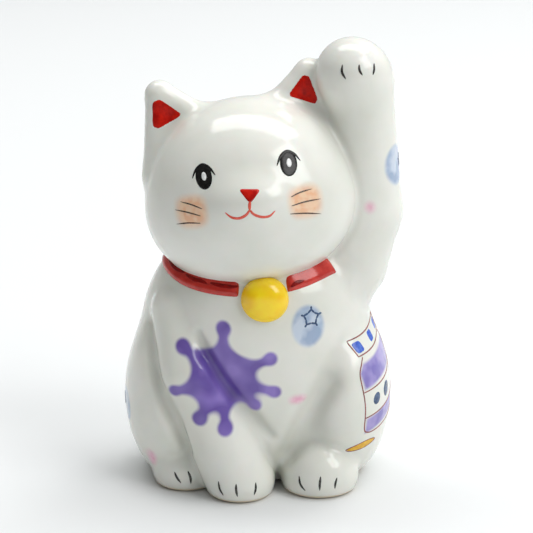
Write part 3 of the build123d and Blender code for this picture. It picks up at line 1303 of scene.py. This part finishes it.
@dataclass
class JamJar:
    """Jar of jam painted on the left haunch, with a chequered lid and a spoon below it.

    Places are across and up in mm on a sheet beside the cat, and the drawing rises
    towards the back.
    """

    azimuth: float = 71.0
    middle_z: float = 26.0
    rise: float = 0.23
    half: float = 9.4
    base: float = -9.4
    shoulder: float = 6.2
    neck: Point2 = (6.4, 9.2)
    lid: tuple[float, float, float] = (7.3, 9.6, 13.2)
    label: Point2 = (-4.8, 1.7)
    cells: int = 5
    jam_inset: float = 0.5
    jam_over: float = 1.6
    jam_corner: float = 0.6
    jam_base: float = 0.4
    check_share: float = 0.42
    check_high: float = 1.25
    line_wide: float = 0.36
    side_out: float = 8.0
    label_berries: tuple[tuple[Point2, float, int], ...] = (
        ((0.0, -1.95), 1.9, 32),
        ((-5.4, -1.6), 1.5, 28),
    )
    spoon_from: Point2 = (-11.3, 10.8)
    spoon_run: Point2 = (6.8, 1.5)
    spoon_half: float = 1.15
    spoon_edge: float = 0.24

    def place(self, a: float, b: float) -> Point2:
        """Place on the sheet of a point of the drawing."""
        return (a, self.middle_z + b + self.rise * a)

    def outline(self) -> list[Point2]:
        """Left half of the jar's wall, from its neck to the middle of its base."""
        return [
            (-self.neck[0], self.neck[1]),
            (-self.neck[0] - 0.9, self.neck[1] - 0.9),
            (-self.half + 0.5, self.shoulder),
            (-self.half, self.shoulder - 3.0),
            (-self.half, -2.0),
            (-self.half + 0.1, self.base + 2.0),
            (-self.half + 1.3, self.base + 0.3),
            (-self.half + 4.0, self.base - 0.3),
            (0.0, self.base - 0.5),
        ]

    def jam(self, points: Array) -> Array:
        """How far each corner of the skin lies from the jam's edge, in mm."""
        turned = radians(self.azimuth)
        a = points[:, 0] * cos(turned) + points[:, 1] * sin(turned)
        b = points[:, 2] - self.middle_z - self.rise * a
        inset, top = self.jam_inset, self.shoulder + self.jam_over
        wall = np.abs(a) - (self.half - inset)
        corner = (np.abs(a) + b) - self.half - self.shoulder + self.jam_corner
        upper = np.maximum.reduce([wall, self.label[1] + inset - b, b - top, corner])
        lower = np.maximum.reduce([wall, b - self.label[0] + inset, self.base + self.jam_base - b])
        out = points[:, 0] * sin(turned) - points[:, 1] * cos(turned)
        return np.where(out > self.side_out, np.minimum(upper, lower), FAR)

    def build(self, painter: Painter) -> None:
        """Paint the jar's lines, lid, label motif and spoon."""
        sheet = side_easel(self.azimuth)

        def filled(middle: Point2, half: Point2, *shape: float) -> Shell:
            """One filled oval of the drawing."""
            rim = [self.place(*corner) for corner in oval(middle, half, *shape)]
            return painter.patch(sheet, rim, thick=0.07, rings=5)

        left = self.outline()
        right = [(-a, b) for a, b in left]
        w, low, top = self.lid
        step = 2 * w / self.cells
        lines = [left, right]
        lines += [[(-self.half, b), (0, b - 0.5), (self.half, b)] for b in self.label]
        lines += [[(-w, b), (0, b - 0.3), (w, b)] for b in (low, top)]
        lines += [[(x, low - 0.1), (x, top - 0.1)] for x in (-w, w)]
        placed = [[self.place(*corner) for corner in line] for line in lines]
        marks = [painter.stroke(sheet, line, self.line_wide, (0.8, 0.8)) for line in placed]
        painter.hang("jar_lines", marks, OUTLINE.make())
        middle = (low + top) / 2 - 0.15
        half = (step * self.check_share, self.check_high)
        checks = [filled((-w + step * (k + 0.5), middle), half, 32, 4.0) for k in range(0, self.cells, 2)]
        painter.hang("jar_lid_checks", checks, LID_BLUE.make())
        berries = [filled(at, (r, r), count) for at, r, count in self.label_berries]
        painter.hang("jar_label_berries", berries, STAR_BLUE.make())
        self.spoon(painter, sheet)

    def spoon(self, painter: Painter, sheet: Easel) -> None:
        """Paint the spoon: a slim yellow blade with a brown edge."""
        t = np.linspace(0, 1, 26)
        x = self.spoon_from[0] + self.spoon_run[0] * t
        z = self.spoon_from[1] + self.spoon_run[1] * t + 0.2 * np.sin(pi * t)
        half = self.spoon_half * np.sin(pi * t) ** 0.6 * (1 - 0.3 * t)
        rim = np.vstack([np.stack([x, z + half], 1), np.stack([x, z - half], 1)[::-1][1:-1]])
        blade = painter.patch(sheet, rim, thick=0.08, rings=5)
        painter.hang("spoon_blade", [blade], SPOON_YELLOW.make())
        loop = np.vstack([rim, rim[:1]])[::2]
        edge = painter.stroke(sheet, loop, self.spoon_edge, (0.9, 0.9), thick=0.1)
        painter.hang("spoon_edge", [edge], OUTLINE.make())


@dataclass
class BerryCrowns:
    """Small five-pointed crowns drawn on five of the berries: azimuth, place and size of each."""

    painter: Painter
    crowns: tuple[tuple[float, Point2, float], ...] = (
        (0.0, (12.9, 44.6), 2.6),
        (104.0, (-8.2, 79.2), 1.7),
        (-97.0, (8.9, 19.5), 1.6),
        (180.0, (12.4, 41.4), 1.8),
        (140.0, (-2.6, 30.8), 1.7),
    )
    wide: float = 0.48
    point: float = 0.72
    notch: float = 0.5

    def build(self) -> None:
        """Paint the crowns."""
        marks = []
        for azimuth, (x, z), r in self.crowns:
            sheet = side_easel(azimuth)
            t = np.radians(90 + 36 * np.arange(11))
            reach = np.where(np.arange(11) % 2 == 0, r * self.point, r * self.notch)
            star = np.stack([x + reach * np.cos(t), z + reach * np.sin(t)], 1)
            tips = np.stack([x + r * np.cos(t), z + r * np.sin(t)], 1)
            lines = list(zip(star, star[1:])) + list(zip(star[:-1:2], tips[:-1:2]))
            marks += [self.painter.stroke(sheet, line, self.wide, (0.9, 0.9)) for line in lines]
        self.painter.hang("berry_crowns", marks, STAR_BLUE.make())


@dataclass
class Stopper:
    """The soft stopper keeps its CAD shape and gets its own finish."""

    node: str = "base_stopper"

    def build(self) -> None:
        """Dress the stopper."""
        finish = SoftStopperRubber().make()
        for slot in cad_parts[self.node].material_slots:
            slot.material = finish
        LOG.info("%s dressed", self.node)


@dataclass
class Studio:
    """Pale paper, soft lights and the camera. Sizes in metres."""

    view_azimuth: float = 0.0
    view_height: float = 16.5
    view_away: float = 0.46
    look_at: Point3 = (0.00095, 0.0, 0.052)
    lens: float = 125.5
    floor_half: float = 3.0
    room_dark: float = 0.02
    room_horizon: float = 0.5
    room_window: Point3 = (0.7, 0.45, 0.55)
    room_light: float = 0.6
    softboxes: tuple[tuple[str, Point3, Point2, float], ...] = (
        ("key_softbox", (1.1, -0.75, 1.25), (0.8, 1.1), 12.5),
        ("top_softbox", (0.1, 0.35, 1.75), (2.2, 0.75), 23.0),
        ("rim_softbox", (0.8, 0.95, 1.15), (0.7, 0.7), 5.5),
    )

    def build(self) -> None:
        """Set up the floor, lights, surroundings and camera."""
        self.floor()
        self.surroundings()
        for light in self.softboxes:
            self.softbox(*light)
        self.camera()

    def floor(self) -> None:
        """Lay the paper."""
        h = self.floor_half
        mesh = bpy.data.meshes.new("studio_floor")
        mesh.from_pydata([(-h, -h, 0), (h, -h, 0), (h, h, 0), (-h, h, 0)], [], [(0, 1, 2, 3)])
        mesh.materials.append(StudioPaper().make())
        floor = bpy.data.objects.new("studio_floor", mesh)
        bpy.context.collection.objects.link(floor)

    def surroundings(self) -> None:
        """White room, lit most from above the cat's left and back, with a pale horizon."""
        world = bpy.data.worlds.new("studio_room")
        world.use_nodes = True
        nodes, links = world.node_tree.nodes, world.node_tree.links
        ray = nodes.new("ShaderNodeTexCoord").outputs["Generated"]
        split = nodes.new("ShaderNodeSeparateXYZ")
        towards = nodes.new("ShaderNodeVectorMath")
        towards.operation = "DOT_PRODUCT"
        towards.inputs[1].default_value = self.room_window
        shade = nodes.new("ShaderNodeMapRange")
        shade.inputs["From Min"].default_value = -1.0
        shade.inputs["To Min"].default_value = self.room_dark
        shade.inputs["To Max"].default_value = self.room_light
        links.new(ray, split.inputs[0])
        links.new(ray, towards.inputs[0])
        links.new(towards.outputs["Value"], shade.inputs["Value"])
        above = nodes.new("ShaderNodeMapRange")
        above.inputs["From Min"].default_value = 0.08
        above.inputs["From Max"].default_value = 0.14
        above.inputs["To Min"].default_value = self.room_horizon
        links.new(split.outputs["Z"], above.inputs["Value"])
        links.new(shade.outputs[0], above.inputs["To Max"])
        back = nodes["Background"]
        back.inputs["Color"].default_value = linear("#FBFCFD")
        links.new(above.outputs[0], back.inputs["Strength"])
        bpy.context.scene.world = world

    def softbox(self, name: str, at: Point3, size: Point2, watts: float) -> None:
        """Hang a soft light aimed at the cat.

        Args:
            name: the light's name.
            at: where it hangs.
            size: its width and height.
            watts: its power.
        """
        data = bpy.data.lights.new(name, "AREA")
        data.shape = "RECTANGLE"
        data.size, data.size_y = size
        data.energy = watts
        lamp = bpy.data.objects.new(name, data)
        lamp.location = at
        aim = Vector(self.look_at) - Vector(at)
        lamp.rotation_euler = aim.to_track_quat("-Z", "Y").to_euler()
        bpy.context.collection.objects.link(lamp)

    def camera(self) -> None:
        """Place the camera."""
        a, e = radians(self.view_azimuth), radians(self.view_height)
        away = Vector((sin(a) * cos(e), -cos(a) * cos(e), sin(e))) * self.view_away
        data = bpy.data.cameras.new("studio_camera")
        data.lens = self.lens
        data.sensor_width = 36.0
        data.clip_start = 0.01
        camera = bpy.data.objects.new("studio_camera", data)
        camera.location = Vector(self.look_at) + away
        camera.rotation_euler = (-away).to_track_quat("-Z", "Y").to_euler()
        bpy.context.collection.objects.link(camera)
        bpy.context.scene.camera = camera


def main() -> None:
    """Build the cat, piece by piece, and its studio."""
    logging.basicConfig(level=logging.INFO, format="%(name)s %(message)s")
    bpy.context.scene.view_settings.view_transform = "Standard"
    bench = Bench()
    painter = Painter(bench)
    GlazedSkin(bench).build()
    Face(painter).build()
    Claws(painter).build()
    Collar(painter).build()
    JamJar().build(painter)
    BerryCrowns(painter).build()
    Stopper().build()
    Studio().build()


if __name__ == "__main__":
    main()
